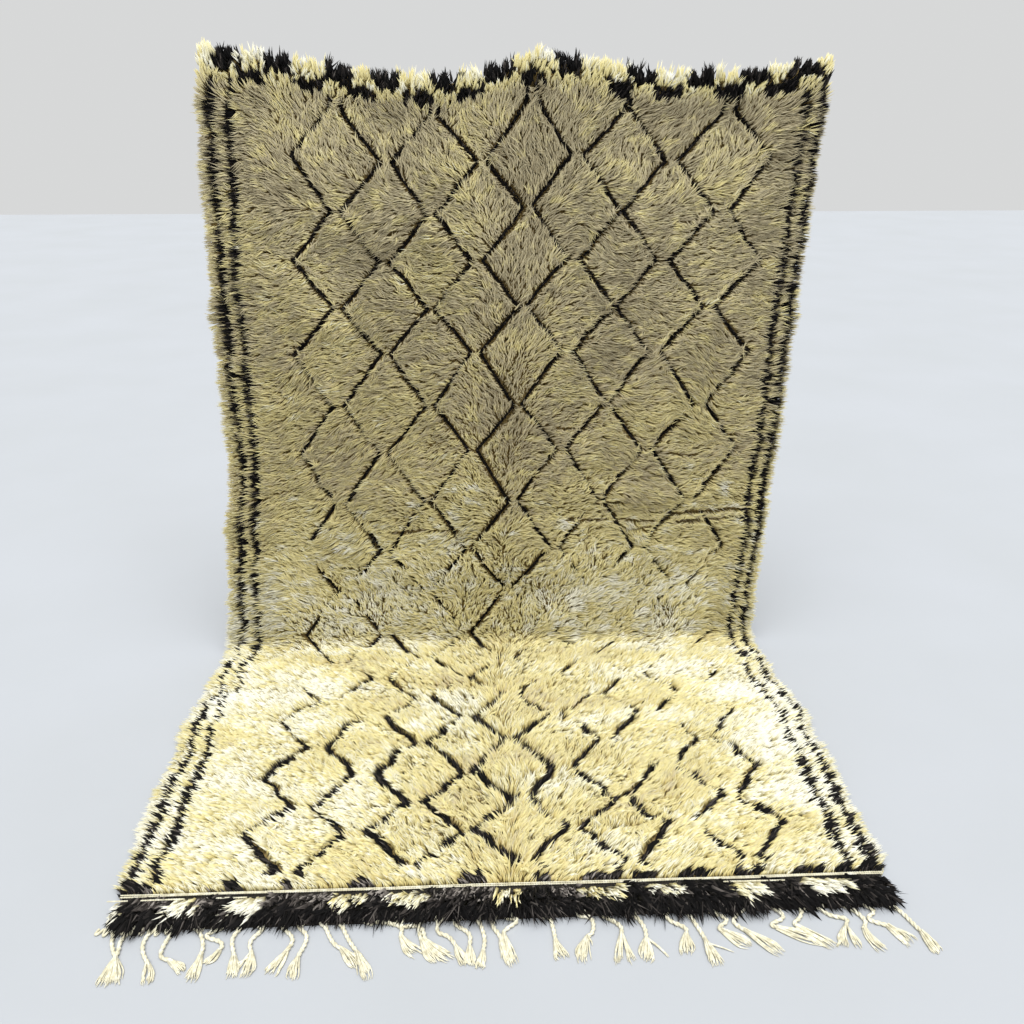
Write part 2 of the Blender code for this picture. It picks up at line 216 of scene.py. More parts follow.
def noise_along(s, scale, place, layer):
    """Smooth noise along the rug only, different for each place."""
    return np.array([noise.noise((place, v * scale, layer)) for v in s.tolist()])


def lumps(x, s, scale, layer):
    """Smooth noise over the flat rug, from about -0.6 to 0.6."""
    places = zip((x * scale).tolist(), (s * scale).tolist())
    return np.array([noise.noise((a, b, layer)) for a, b in places])


def top_drop(x):
    """How far below TOP_HEIGHT the top edge is: straight between the holds, and the sag."""
    drop = np.zeros_like(x)
    for i, depth in enumerate(SAG_DEPTH):
        here = x > HOLD_X[i] if i else np.full(x.shape, True)
        t = np.clip((x - HOLD_X[i]) / (HOLD_X[i + 1] - HOLD_X[i]), 0.0, 1.0)
        straight = HOLD_DROP[i] + (HOLD_DROP[i + 1] - HOLD_DROP[i]) * t
        sag = depth * (1.0 - np.abs(2.0 * t ** SAG_SKEW[i] - 1.0) ** 1.8)
        drop = np.where(here, straight + sag, drop)
    return drop


def stand_out(x, s):
    """How far the hanging cloth stands out towards the front: the crease and the folds."""
    crease = CREASE_RISE * np.exp(-(np.abs(x - CREASE_X) / CREASE_REACH) ** 1.4)
    crease *= 1.0 - fade(s, CREASE_END, BEND_START)
    folds = sum(rise * bump(x, fx, rx) * bump(s, fs, rs) for fx, fs, rx, rs, rise in FOLDS)
    return (crease + folds) * (1.0 - fade(s, BEND_START - 0.08, BEND_START))


def pile_height(x, s):
    """Height of the pile's lumpy face above the back of the cloth."""
    height = THICKNESS + LUMP * 1.6 * lumps(x, s, 11.0, 0.5) + LUMP * 0.8 * lumps(x, s, 27.0, 4.5)
    run = s - BEND_END
    ripples = sum(rise * bump(run, place, reach) for place, reach, rise in RIPPLES)
    ripples += RUN_CREASE_RISE * bump(x, CREASE_X, CREASE_REACH)
    return height + np.where(run > 0.0, ripples, 0.0)


def lay(points):
    """Points of the flat rug (x, s, h), put where they hang or lie."""
    x, s, h = points.T
    angle = np.clip((s - BEND_START) / BEND_RADIUS, 0.0, math.pi / 2)
    run = np.maximum(0.0, s - BEND_END)
    out = BEND_RADIUS * (1.0 - np.cos(angle)) + run
    down = np.minimum(s, BEND_START) + BEND_RADIUS * np.sin(angle)
    lift = h + stand_out(x, s)
    sag = top_drop(x) * np.exp(-np.maximum(0.0, s) / SAG_FADE) * (1.0 - fade(s, 1.2, 1.5))
    across = x * read_off(WIDTHS, s / FLAT_LENGTH) + SIDE_DRIFT * (1.0 - down / TOP_HEIGHT)
    across += EDGE_DRAW * bump(s, 0.98, 0.24) * fade(-x, 0.45, HALF)
    across += CORNER_DRAW * bump(s, 0.0, 0.10) * fade(x, 0.60, HALF)
    y = BACK_Y - out - np.cos(angle) * lift
    z = TOP_HEIGHT - down - sag + np.sin(angle) * lift
    return np.stack((across, y, z), axis=1)


# ---- the drawing ----
def zigzag(line, s):
    """Where one line of the net lies across the rug, at places along it, and its slant there."""
    turns = np.arange(len(NET_TURNS))
    side = np.where((turns + line) % 2 == 0, 1.0, -1.0)
    wander = np.array([noise.noise((line * 3.1, t * 1.7, 2.0)) for t in turns.tolist()])
    on_floor = fade(np.array(NET_TURNS), 1.5, 2.0)
    middle = NET_LINES[line] + (FLOOR_LINES[line] - NET_LINES[line]) * on_floor
    corners = middle + side * NET_SWING * (1.0 - 0.2 * on_floor) + wander * 0.010
    slants = np.diff(corners) / np.diff(NET_TURNS)
    leg = np.clip(np.searchsorted(NET_TURNS, s) - 1, 0, len(slants) - 1)
    shaky = noise_along(s, 30.0, line * 2.3, 4.0) * (0.006 + 0.008 * fade(s, 1.55, 1.85))
    return np.interp(s, NET_TURNS, corners) + shaky, slants[leg]


def line_strength(line, s):
    """How plainly a line shows, from 0 where the pile hides it to 1 and over where it is thick."""
    on_floor = fade(s, 1.85, 2.05)
    worn = noise_along(s, 8.0, line * 5.3, 7.0) + 0.6 * noise_along(s, 31.0, line, 8.0)
    worn *= 0.36 + 0.74 * fade(s, 0.95, 1.35) - 0.20 * on_floor
    near_fold = 0.30 * (abs(NET_LINES[line] - CREASE_X) < 0.06)
    near_fold += 0.9 * near_fold * fade(s, 1.9, 2.1)
    right = NET_LINES[line] > 0.15
    strong = 0.90 + near_fold + 0.22 * fade(s, 2.05, 2.30)
    strong -= 0.22 * right * fade(s, 0.9, 1.2) * (1.0 - 0.6 * fade(s, 2.2, 2.4))
    strong = strong - 0.15 * bump(s, 1.75, 0.25) - (0.50 - near_fold) * bump(s, 1.46, 0.15)
    strong -= 0.16 * right * on_floor * (1.0 - fade(s, 2.30, 2.45))
    begins = fade(s, NET_TURNS[0] - 0.035, NET_TURNS[0] - 0.02)
    ends = fade(s, PARTING_S - 0.045, PARTING_S - 0.03)
    return (strong + 1.25 * worn) * begins * (1.0 - ends)


def line_width(plain, x, s):
    """Half the width of a line: thicker where it is plain, but not on the right of the floor part."""
    buried = fade(x, 0.12, 0.20) * fade(s, 1.85, 1.95) * (1.0 - 0.5 * fade(s, 2.35, 2.45))
    return NET_WIDTH + (NET_THICK - NET_WIDTH) * np.clip(plain - 0.9, 0.0, 1.0) * (1.0 - 0.8 * buried)


def nearest_line(x, s):
    """Signed distance to the nearest line of the net, the way to it, and how plain it is there."""
    best = np.full(x.shape, 1e3)
    slant = np.zeros(x.shape)
    plain = np.zeros(x.shape)
    for line in range(len(NET_LINES)):
        place, leg = zigzag(line, s)
        off = (x - place) / np.hypot(1.0, leg)
        closer = np.abs(off) < np.abs(best)
        best = np.where(closer, off, best)
        slant = np.where(closer, leg, slant)
        plain = np.where(closer, line_strength(line, s), plain)
    return best, slant, plain


def line_roots(rng):
    """Roots of the black locks along the net's lines."""
    places = []
    for line in range(len(NET_LINES)):
        s = np.arange(NET_TURNS[0] - 0.03, PARTING_S - 0.03, NET_STEP * 0.8)
        x, _ = zigzag(line, s)
        plain = line_strength(line, s)
        wide = line_width(plain, x, s)
        for row in range(4):
            shows = (plain > 0.28 + 0.3 * rng.uniform(size=s.size)) & (wide > row * NET_STEP)
            off = rng.uniform(-1.0, 1.0, s.size) * wide
            places.append(np.column_stack((x + off, s + rng.uniform(-0.5, 0.5, s.size) * NET_STEP))[shows])
    return np.vstack(places).T


def on_stripe(x, s):
    """Whether a root lies on one of the dashed stripes along the sides."""
    found = np.full(x.shape, False)
    for column in (1, 2, 3, 4):
        off = np.abs(x - read_off(STRIPES, s / FLAT_LENGTH, column))
        dash = noise_along(s, 42.0, column * 4.7, 1.0)
        thin = 0.0025 * fade(s, 1.1, 1.5) * (1.0 - fade(s, 2.1, 2.35))
        found |= off < STRIPE_WIDTH * (1.04 + 0.9 * dash) - thin + 0.0015 * fade(s, 2.25, 2.45)
    return found


def slump(x, s):
    """Pull of the level partings along the rug, and how near the root is to the bottom of one."""
    pull = np.zeros(x.shape)
    near = np.zeros(x.shape)
    for place, start, end, half, plain in SLUMPS:
        row = np.full(x.shape, place)
        drift = 0.022 * lumps(x, row, 5.0, 31.0) + 0.004 * lumps(x, row, 30.0, 32.0)
        off = s - place - drift
        open_here = plain * fade(x, start, start + 0.04) * (1.0 - fade(x, end - 0.04, end))
        open_here *= np.clip(0.9 + 1.6 * lumps(x, row, 14.0, 33.0), 0.0, 1.3)
        pull += 0.5 * open_here * np.sign(off) * bump(off, 0.0, 0.009)
        near = np.maximum(near, open_here * bump(off, 0.0, half))
    return pull, near


def in_blocks(x, centres, width):
    """Whether x is within half a width of a centre; the width is one for all, or one each."""
    gaps = np.abs(x[:, None] - np.array(centres)[None, :]) - np.array(width) / 2
    return gaps.min(axis=1) < 0.0


def is_dark(x, s, tuft_x, tuft_s):
    """Whether a lock is of black wool, by its root on a stripe and by its tuft in the blocks."""
    ragged_x = tuft_x + 0.006 * lumps(tuft_x, tuft_s, 60.0, 9.0)
    ragged_s = tuft_s + 0.004 * lumps(tuft_x, tuft_s, 45.0, 3.0)
    dark = on_stripe(x, s)
    top = np.where(ragged_s < EDGE_ROW, in_blocks(ragged_x, EDGE_DARKS, BLOCK),
                   in_blocks(ragged_x, SECOND_DARKS, BLOCK))
    dark = np.where(ragged_s < 2 * EDGE_ROW, top, dark)
    rough = 0.016 * lumps(tuft_x, tuft_s, 30.0, 6.0)
    last = in_blocks(ragged_x + rough, *zip(*LAST_DARKS))
    dark = np.where(ragged_s + rough > PARTING_S - 0.024, last, dark)
    lights = in_blocks(ragged_x, *zip(*FRONT_LIGHTS)) & (ragged_s < PARTING_S + 0.030)
    lights |= (ragged_x < -HALF + 0.022) & (ragged_s < PARTING_S + 0.040)
    return np.where(s > PARTING_S, ~lights, dark)


# ---- how the pile lies ----
def lying(s):
    """How far the rug has turned onto the floor, from 0 to 1."""
    return fade(s, BEND_START, FLOOR_START + 0.05)


def comb(x, s):
    """Direction in which the pile lies across and along the rug, and how steeply it stands."""
    side = np.tanh((x - CREASE_X) / 0.08)
    by_crease = np.exp(-(np.abs(x - CREASE_X) / 0.12) ** 1.3)
    margin = fade(np.abs(x), 0.56, 0.68)
    floor = lying(s)
    foot = fade(s, 1.28, 1.36) * (1.0 - floor)
    upper = (1.0 - fade(s, 0.12, 0.42)) * (1.0 - margin)
    top_end = 1.0 - fade(s, 0.03, 0.12)
    front_end = fade(s, PARTING_S - 0.13, PARTING_S - 0.03)
    across = side * (1.0 - 0.3 * by_crease * (1.0 - floor)) * (1.0 - 0.45 * foot)
    along = 0.10 - 0.95 * by_crease * (1.0 - 0.6 * floor) - 0.15 * fade(x, -0.1, 0.3)
    along -= 1.0 * foot * (1.0 - margin)
    along = along * (1.0 - 0.8 * margin) - 1.1 * upper - 2.4 * top_end
    along = along * (1.0 - 0.7 * bump(s, 1.68, 0.12)) * (1.0 - front_end) - 0.25 * front_end
    along += 1.6 * fade(s, PARTING_S - 0.002, PARTING_S + 0.012)
    along += 0.8 * fade(s, FLAT_LENGTH - 0.03, FLAT_LENGTH - 0.01)
    across = across * (1.0 - 0.5 * upper) * (1.0 - 0.75 * top_end)
    middle = floor * bump(x, 0.03, 0.40)
    turn = np.radians(60.0 * lumps(x, s, 6.5, 11.0) + (40.0 + 60.0 * middle) * lumps(x, s, 17.0, 12.0))
    turn *= 1.0 - 0.75 * margin
    turn *= 1.0 - 0.75 * np.maximum(top_end, front_end)
    heading = np.arctan2(along, across) + turn
    steep = 26.0 - 4.0 * foot - 4.0 * floor + 6.0 * by_crease + 20.0 * middle
    steep = steep + 14.0 * lumps(x, s, 8.0, 13.0) - 6.0 * (1.0 - fade(s, 0.3, 0.9))
    for share, angle in ((margin, 22.0), (top_end, 44.0), (front_end, 22.0 + 8.0 * middle)):
        steep = steep * (1.0 - share) + angle * share
    return heading, np.radians(steep), middle


def lean_away(heading, x, s, near):
    """Beside a line that shows, the cream pile leans away from it and leaves a groove."""
    off, slant, plain = near
    away_x = np.sign(off) / np.hypot(1.0, slant)
    away_s = -away_x * slant
    toward = np.maximum(0.0, -np.cos(heading) * away_x - np.sin(heading) * away_s)
    on_floor = fade(s, 1.8, 2.0)
    reach = GROOVE + FAR_GROOVE * toward * (1.0 - 0.35 * on_floor * (np.abs(x) > 0.09))
    pull = (1.3 + 1.2 * on_floor) * bump(off, 0.0, reach) * np.clip(plain, 0.0, 1.0)
    away_x *= pull
    away_s = away_s * pull + 1.6 * slump(x, s)[0]
    past = s - PARTING_S
    ahead = 2.2 * bump(past, 0.0, 0.030)
    behind = -1.3 * bump(past, 0.0, 0.012)
    away_s += np.where(past > 0.0, ahead, behind)
    return np.arctan2(np.sin(heading) + away_s, np.cos(heading) + away_x)


def follow_line(heading, x, s, near):
    """On the floor by the crease, the black locks of a line lie along it."""
    slant = near[1]
    size = np.hypot(1.0, slant)
    agree = np.sign(np.cos(heading) * slant + np.sin(heading))
    hold = 2.0 * fade(s, 1.8, 2.0) * bump(x, 0.0, 0.25) * agree / size
    return np.arctan2(np.sin(heading) + hold, np.cos(heading) + hold * slant)


def knot_places(rng):
    """Roots of the locks, on knot rows across the cloth, each a little out of place."""
    across = np.arange(-HALF + KNOT_PITCH / 2, HALF, KNOT_PITCH)
    along = np.arange(KNOT_PITCH / 2, FLAT_LENGTH - 0.002, KNOT_PITCH)
    x, s = (grid.ravel() for grid in np.meshgrid(across, along))
    x += rng.uniform(-0.4, 0.4, x.size) * KNOT_PITCH
    s += rng.uniform(-0.4, 0.4, s.size) * KNOT_PITCH
    off, _, plain = nearest_line(x, s)
    wide = line_width(plain, x, s)
    clear = (np.abs(s - PARTING_S) > 0.0055) & ((np.abs(off) > wide) | (plain < 0.4))
    return x[clear], s[clear]


def rim_roots(rng):
    """Extra roots along the edges: two rows down each side, three along the top, four in front."""
    places = []
    down = np.arange(0.004, FLAT_LENGTH - 0.004, RIM_PITCH)
    for row in (0.002, 0.006):
        for side in (-1.0, 1.0):
            places.append((np.full(down.size, side * (HALF - row)), down + row / 2))
    over = np.arange(-HALF + 0.004, HALF - 0.004, RIM_PITCH)
    for row in (0.002, 0.006, 0.010):
        places.append((over + row / 2, np.full(over.size, row)))
    for row in (0.002, 0.005, 0.009, 0.013):
        places.append((over + row / 2, np.full(over.size, FLAT_LENGTH - row)))
    x, s = np.concatenate(places, axis=1)
    return x + rng.uniform(-1.0, 1.0, x.size) * MM, s + rng.uniform(-1.0, 1.0, x.size) * MM


def tufts(x, s, rng):
    """For each root, its tuft's number and its own place from the tuft's middle."""
    columns = int(WIDTH / TUFT_PITCH) + 4
    rows = int(FLAT_LENGTH / TUFT_PITCH) + 4
    stray_x = rng.uniform(-0.45, 0.45, (rows, columns))
    stray_s = rng.uniform(-0.45, 0.45, (rows, columns))
    middle_x = (np.arange(columns)[None, :] - 1.5 + stray_x) * TUFT_PITCH - HALF
    middle_s = (np.arange(rows)[:, None] - 1.5 + stray_s) * TUFT_PITCH
    column = ((x + HALF) / TUFT_PITCH + 2).astype(int)
    row = (s / TUFT_PITCH + 2).astype(int)
    best = np.full(x.shape, 1e9)
    number = np.zeros(x.shape, int)
    for i in (-1, 0, 1):
        for j in (-1, 0, 1):
            r = np.clip(row + i, 0, rows - 1)
            c = np.clip(column + j, 0, columns - 1)
            far = np.hypot(x - middle_x[r, c], s - middle_s[r, c])
            number = np.where(far < best, r * columns + c, number)
            best = np.minimum(best, far)
    return number, x - middle_x.ravel()[number], s - middle_s.ravel()[number], rows * columns


def rim_lock():
    """A lock of the edges: three-sided, pointed at both ends, thickest below its middle, 1 long. Its
    faces are turned inside out here, because laying the flat rug mirrors it."""
    bm = bmesh.new()
    bmesh.ops.create_cone(bm, cap_ends=True, segments=3, radius1=1.0, radius2=0.0, depth=1.0 - STEM)
    bmesh.ops.remove_doubles(bm, verts=bm.verts, dist=0.001)
    bmesh.ops.translate(bm, vec=(0.0, 0.0, (1.0 + STEM) / 2), verts=bm.verts)
    base = [f for f in bm.faces if f.normal.z < -0.9]
    root = bmesh.ops.poke(bm, faces=base)["verts"][0]
    root.co.z = 0.0
    bmesh.ops.recalc_face_normals(bm, faces=bm.faces[:])
    bmesh.ops.reverse_faces(bm, faces=bm.faces[:])
    bm.verts.index_update()
    points = np.array([v.co for v in bm.verts])
    faces = [[v.index for v in f.verts] for f in bm.faces]
    bm.free()
    return points, faces


def field_lock():
    """A lock among its neighbours: root, two shoulders where it lies over, and tip. The root and
    the tip are joined straight, below the shoulders, so it is closed. Wound for the mirrored lay."""
    points = np.array(((0.0, 0.0, 0.0), (1.0, 0.0, STEM), (-1.0, 0.0, STEM), (0.0, 0.0, 1.0)))
    faces = [[0, 1, 2], [1, 3, 2], [0, 3, 1], [0, 2, 3]]
    return points, faces


def joined(name, points, copies, faces, uvs, finish, outwards):
    """Many like shapes as one mesh: points in rows of copies, the faces of the first one. A lock is
    loose fibre that scatters light, so its shading leans towards the way the cloth faces."""
    each = len(points) // copies
    corners = np.array([v for f in faces for v in f])
    sizes = np.array([len(f) for f in faces])
    offsets = np.arange(copies)[:, None] * each
    loops = (corners[None, :] + offsets).ravel()
    starts = np.concatenate(([0], np.cumsum(np.tile(sizes, copies))[:-1]))
    mesh = bpy.data.meshes.new(name)
    mesh.vertices.add(len(points))
    mesh.vertices.foreach_set("co", points.astype(np.float32).ravel())
    mesh.loops.add(len(loops))
    mesh.loops.foreach_set("vertex_index", loops.astype(np.int32))
    mesh.polygons.add(len(starts))
    mesh.polygons.foreach_set("loop_start", starts.astype(np.int32))
    mesh.update(calc_edges=True)
    mesh.validate()
    for layer, values in uvs.items():
        made = mesh.uv_layers.new(name=layer)
        made.data.foreach_set("uv", values[loops].astype(np.float32).ravel())
    mesh.shade_smooth()
    own = np.empty(len(points) * 3, np.float32)
    mesh.vertex_normals.foreach_get("vector", own)
    soft = own.reshape(-1, 3) + outwards
    soft /= np.linalg.norm(soft, axis=1)[:, None]
    mesh.normals_split_custom_set_from_vertices(soft.tolist())
    mesh.materials.append(finish)
    return shown(name, mesh)


def bend_locks(shape, lock):
    """Flat places of every lock's points: its stem rises from the root, then the rest lies over."""
    lock = SimpleNamespace(**{name: values[:, None] for name, values in vars(lock).items()})
    t = shape[:, 2][None, :]
    stem = np.minimum(t, STEM) * lock.length
    rest = np.maximum(t - STEM, 0.0) * lock.length
    dx, ds = np.cos(lock.heading), np.sin(lock.heading)
    reach = stem * np.cos(lock.rise) + rest * np.cos(lock.steep)
    px = lock.x + dx * reach - lock.from_x * lock.gather * t ** 1.5
    ps = lock.s + ds * reach - lock.from_s * lock.gather * t ** 1.5
    ph = ROOT_HEIGHT + stem * np.sin(lock.rise) + rest * np.sin(lock.steep)
    lean = (lock.rise + lock.steep) / 2
    around = np.arctan2(shape[:, 1], shape[:, 0])[None, :] + lock.spin
    out = np.hypot(shape[:, 0], shape[:, 1])[None, :] * lock.radius
    to_side = np.cos(around) * out
    to_up = np.sin(around) * out
    px = px - ds * to_side - dx * np.sin(lean) * to_up
    ps = ps + dx * to_side - ds * np.sin(lean) * to_up
    ph = np.maximum(ph + np.cos(lean) * to_up, 0.0008)
    return np.stack((px, ps, ph), axis=2)


def outward(s):
    """The way the cloth's pile side faces, at places along it, as long as its hold on the shading."""
    angle = np.clip((s - BEND_START) / BEND_RADIUS, 0.0, math.pi / 2)
    hold = SOFTNESS + (FLOOR_SOFTNESS - SOFTNESS) * fade(s, BEND_START, BEND_END)
    return np.stack((np.zeros(s.shape), -np.cos(angle), np.sin(angle)), axis=1) * hold[:, None]


def wool_tone(x, s, tuft_tone, rng):
    """How pale the cream wool is: greyer and darker towards the top and in the crease, by painted shade;
    paler at the foot and ivory on the floor, by painted light; yellower in patches, with pale clumps as
    painted highlights.
    """
    floor = lying(s)
    # painted shade: greyer and darker towards the top of the hanging part
    tone = 0.375 - 0.085 * (1.0 - fade(s, 0.25, 0.95))
    # painted light: paler towards the foot of the hanging part, where it turns to the floor
    tone = tone + 0.135 * fade(s, 1.0, 1.25) + 0.11 * fade(s, 1.30, 1.45)
    # darker right of the middle on the upper hanging part
    tone -= 0.045 * fade(x, -0.2, 0.05) * (1.0 - fade(s, 0.9, 1.15))
    # painted shade in the crease down the middle
    tone -= 0.08 * bump(x, CREASE_X, 0.07) * (1.0 - floor)
    # painted light: paler low in the middle of the hanging part
    tone += 0.05 * bump(s, 1.42, 0.13) * bump(x, -0.06, 0.22)
    sides = fade(-x, 0.40, 0.56) + fade(x, 0.50, 0.66)
    # painted light on the floor part, more at its sides; yellower about its middle
    tone += floor * (0.06 - 0.13 * bump(x, 0.05, 0.40) + 0.06 * sides)
    tone = tone + 0.16 * lumps(x, s, 5.0, 21.0) + (0.06 + 0.20 * floor) * lumps(x, 3.0 * s, 4.0, 22.0)
    # painted highlights: pale clumps of wisps on the locks, fewer on the floor
    highlight_wisps = np.maximum(0.0, lumps(x, 2.4 * s, 20.0, 24.0) - 0.12)
    tone = tone + 0.06 * lumps(x, s, 27.0, 23.0) + 0.55 * highlight_wisps * (1.0 - 0.6 * floor) + 0.05 * tuft_tone
    # on the floor about one lock in seven is darker: partly tan strands, partly painted shade between the
    # locks
    tone = tone + 0.065 * rng.normal(size=x.size) - 0.12 * floor * (rng.uniform(size=x.size) > 0.85)
    return np.clip(tone, 0.18, 0.85)


def zones(x, s, dark):
    """How far each root is within the parts of the rug where the pile differs, from 0 to 1."""
    front = fade(s, PARTING_S - 0.002, PARTING_S + 0.006)
    brink = fade(s, FLAT_LENGTH - 0.034, FLAT_LENGTH - 0.012)
    top_edge = 1.0 - fade(s, 0.004, 0.030)
    side_edge = fade(np.abs(x), HALF - 0.03, HALF - 0.004)
    return SimpleNamespace(
        front=front, brink=brink, top_edge=top_edge, side_edge=side_edge,
        rim=np.maximum(side_edge, np.maximum(brink, top_edge)),
        top_end=1.0 - fade(s, 0.03, 0.08),
        upper=1.0 - fade(s, 0.3, 0.9),
        floor=lying(s),
        brow=fade(s, PARTING_S - 0.030, PARTING_S - 0.010) * (1.0 - front),
        fingers=front * ~dark,
        striped=on_stripe(x, s),
    )


def set_lie(lock, zone, tuft_turn, tuft_steep, rng):
    """Which way each lock heads, and how steeply its stem and the rest of it stand."""
    n = lock.x.size
    near = nearest_line(lock.x, lock.s)
    heading, steep, curly = comb(lock.x, lock.s)
    following = follow_line(heading, lock.x, lock.s, near)
    heading = np.where(lock.on_line, following, lean_away(heading, lock.x, lock.s, near))
    apart = np.abs(near[0])
    lock.valley = bump(apart, 0.0, 0.014) * np.clip(near[2], 0.0, 1.0)
    curly *= 1.0 - bump(apart, 0.0, 0.026)
    lock.curly = curly * (1.0 - fade(lock.s, PARTING_S - 0.06, PARTING_S - 0.03))
    ruffled = np.radians(13.0 - 4.0 * zone.floor + 30.0 * lock.curly) * tuft_turn
    ruffled += np.radians(11.0 - 3.0 * zone.floor + 10.0 * lock.curly) * rng.normal(size=n)
    lock.heading = heading + ruffled * lock.spread
    steep = steep + np.radians(6.0) * tuft_steep + np.radians(7.0) * rng.normal(size=n)
    line_steep = np.radians(62.0) - np.radians(24.0) * fade(lock.s, 2.1, 2.4)
    steep = np.clip(np.where(lock.on_line, line_steep, steep), math.radians(8.0), math.radians(80.0))
    steep = steep - np.radians(40.0) * zone.brink - np.radians(26.0) * zone.top_edge
    lock.steep = steep - np.radians(10.0) * zone.side_edge
    rise = np.radians(74.0) - np.radians(30.0) * zone.rim + np.radians(6.0) * rng.normal(size=n)
    lock.rise = rise - np.radians(24.0) * zone.fingers


def set_size(lock, zone, tuft_size, rng):
    """How long and thick each lock is, how it is turned, and how far its tip joins its tuft's."""
    n = lock.x.size
    uneven = 0.07 + 0.03 * zone.floor + 0.08 * zone.brink
    length = LOCK_LENGTH * (1.0 + uneven * tuft_size + rng.uniform(-0.16, 0.16, n) * lock.spread)
    length = length * (1.0 - 0.14 * lock.curly) * (1.0 - 0.14 * lock.valley)
    length = length * pile_height(lock.x, lock.s) / THICKNESS
    length *= 1.0 + 0.20 * zone.front + 0.45 * zone.fingers + 0.10 * zone.brink - 0.32 * zone.brow
    length *= 1.0 - 0.06 * zone.top_end - 0.25 * zone.side_edge
    on_line_length = length * (0.60 + 0.26 * fade(lock.s, 1.85, 2.1))
    lock.length = np.where(lock.on_line, on_line_length, length)
    radius = np.where(lock.on_rim, RIM_RADIUS, LOCK_RADIUS) * (1.0 + rng.uniform(-0.2, 0.2, n))
    thicker = 0.6 * zone.fingers + 0.5 * zone.top_end + 0.2 * zone.striped + 0.12 * zone.upper
    lock.radius = radius * (1.0 + thicker - 0.12 * zone.floor)
    gather = GATHER + 0.55 * zone.top_end + 0.25 * zone.front - 0.20 * zone.fingers + 0.25 * lock.curly
    gather *= rng.uniform(0.8, 1.1, n)
    lock.gather = np.where(lock.on_line, 0.0, gather * (1.0 - 0.6 * zone.side_edge))
    lock.spin = rng.uniform(-1.0, 1.0, n) * np.where(lock.on_rim, math.pi, 0.5)


def set_colour(lock, zone, tuft_tone, rng):
    """Each lock's tone in the wool's palette, and how far up it the painted shade of its root reaches."""
    tone = wool_tone(lock.x, lock.s, tuft_tone, rng)
    # painted shade: a little darker beside a line, in the groove where the pile leans away
    tone = tone + 0.33 * zone.top_end + 0.12 * zone.fingers - 0.05 * lock.valley
    # painted shade: much darker at the bottom of a slumped parting
    deep = slump(lock.x, lock.s)[1] * ~lock.on_rim
    cream = np.clip(tone * (1.0 - 0.8 * deep), 0.03, 0.85)
    greyed = np.clip(0.65 + 2.0 * lumps(lock.x, lock.s, 9.0, 41.0), 0.0, 1.0) * (1.0 - 0.7 * zone.brink)
    greyed *= fade(lock.s, PARTING_S - 0.035, PARTING_S - 0.012)
    grain = rng.uniform(0.0, 1.0, lock.x.size)
    # painted highlights: a few black locks in front made pale grey as glints
    painted_glint = 0.060 * zone.front * (grain > 0.95)
    black = 0.905 + np.maximum(np.maximum(0.06 * grain ** 3, painted_glint), 0.094 * greyed * grain ** 0.8)
    lock.tone = np.where(lock.dark, black, cream)
    # painted shade: on the floor the dark of the roots reaches further up each cream lock, near the top
    # less far
    floor_root_shade = 0.9 * fade(lock.s, BEND_START, BEND_END) * ~lock.dark
    lock.shaded = 0.6 + 0.4 * fade(lock.s, 0.3, 0.9) + floor_root_shade


def make_locks(rng):
    """Every lock of the pile, each value an array with one entry a lock."""
    field, rim, lines = knot_places(rng), rim_roots(rng), line_roots(rng)
    x, s = np.concatenate((field, rim, lines), axis=1)
    number = np.arange(x.size)
    on_line = number >= x.size - len(lines[0])
    on_rim = (number >= len(field[0])) & ~on_line
    tuft, from_x, from_s, count = tufts(x, s, rng)
    dark = is_dark(x, s, x - from_x, s - from_s) | on_line
    tuft_turn, tuft_steep, tuft_tone, tuft_size = rng.normal(size=(4, count))[:, tuft]
    zone = zones(x, s, dark)
    spread = 1.0 - 0.4 * zone.side_edge - 0.4 * zone.striped + 1.1 * zone.brink
    lock = SimpleNamespace(
        x=x, s=s, from_x=from_x, from_s=from_s, on_line=on_line, on_rim=on_rim, dark=dark,
        spread=spread * (1.0 - 0.55 * zone.fingers),
    )
    set_lie(lock, zone, tuft_turn, tuft_steep, rng)
    set_size(lock, zone, tuft_size, rng)
    set_colour(lock, zone, tuft_tone, rng)
    return lock


def lock_piece(name, lock, form, finish):
    """Some of the locks as one piece, with their places in the palette and along their fibres."""
    shape, faces = form
    t = shape[:, 2][None, :]
    points = bend_locks(shape, lock)
    # painted shading: one side of each cream lock is paler than the other
    across = np.round(shape[:, 0])[None, :] * np.where(lock.dark, 0.002, PAINTED_SIDE_SHADE)[:, None]
    u = np.clip(lock.tone[:, None] + 0.003 * (t % 1.0) + across, 0.0, 1.0)
    # painted shade of the root, reaching up the lock
    v = t ** lock.shaded[:, None]
    around = np.broadcast_to((np.arctan2(shape[:, 1], shape[:, 0]) / math.tau)[None, :], u.shape)
    uvs = {layer: np.stack((first, v), axis=2).reshape(-1, 2)
           for layer, first in (("OFBake", u), ("fibre", around))}
    laid = lay(points.reshape(-1, 3))
    laid[:, 2] = np.maximum(laid[:, 2], 0.0005)
    faced = np.repeat(outward(lock.s), len(shape), axis=0)
    return joined(name, laid, len(lock.s), faces, uvs, finish, faced)


def make_pile(finish):
    """The pile, in pieces that follow each other down the rug, and the locks along its edges."""
    lock = make_locks(np.random.default_rng(SEED))
    order = np.argsort(lock.s, kind="stable")
    parts = [("pile_edges", order[lock.on_rim[order]], rim_lock())]
    for number, part in enumerate(np.array_split(order[~lock.on_rim[order]], PILE_PIECES), start=1):
        parts.append((f"pile_{number}", part, field_lock()))
    pieces = []
    for name, part, form in parts:
        some = SimpleNamespace(**{key: values[part] for key, values in vars(lock).items()})
        pieces.append(lock_piece(name, some, form, finish))
    return pieces


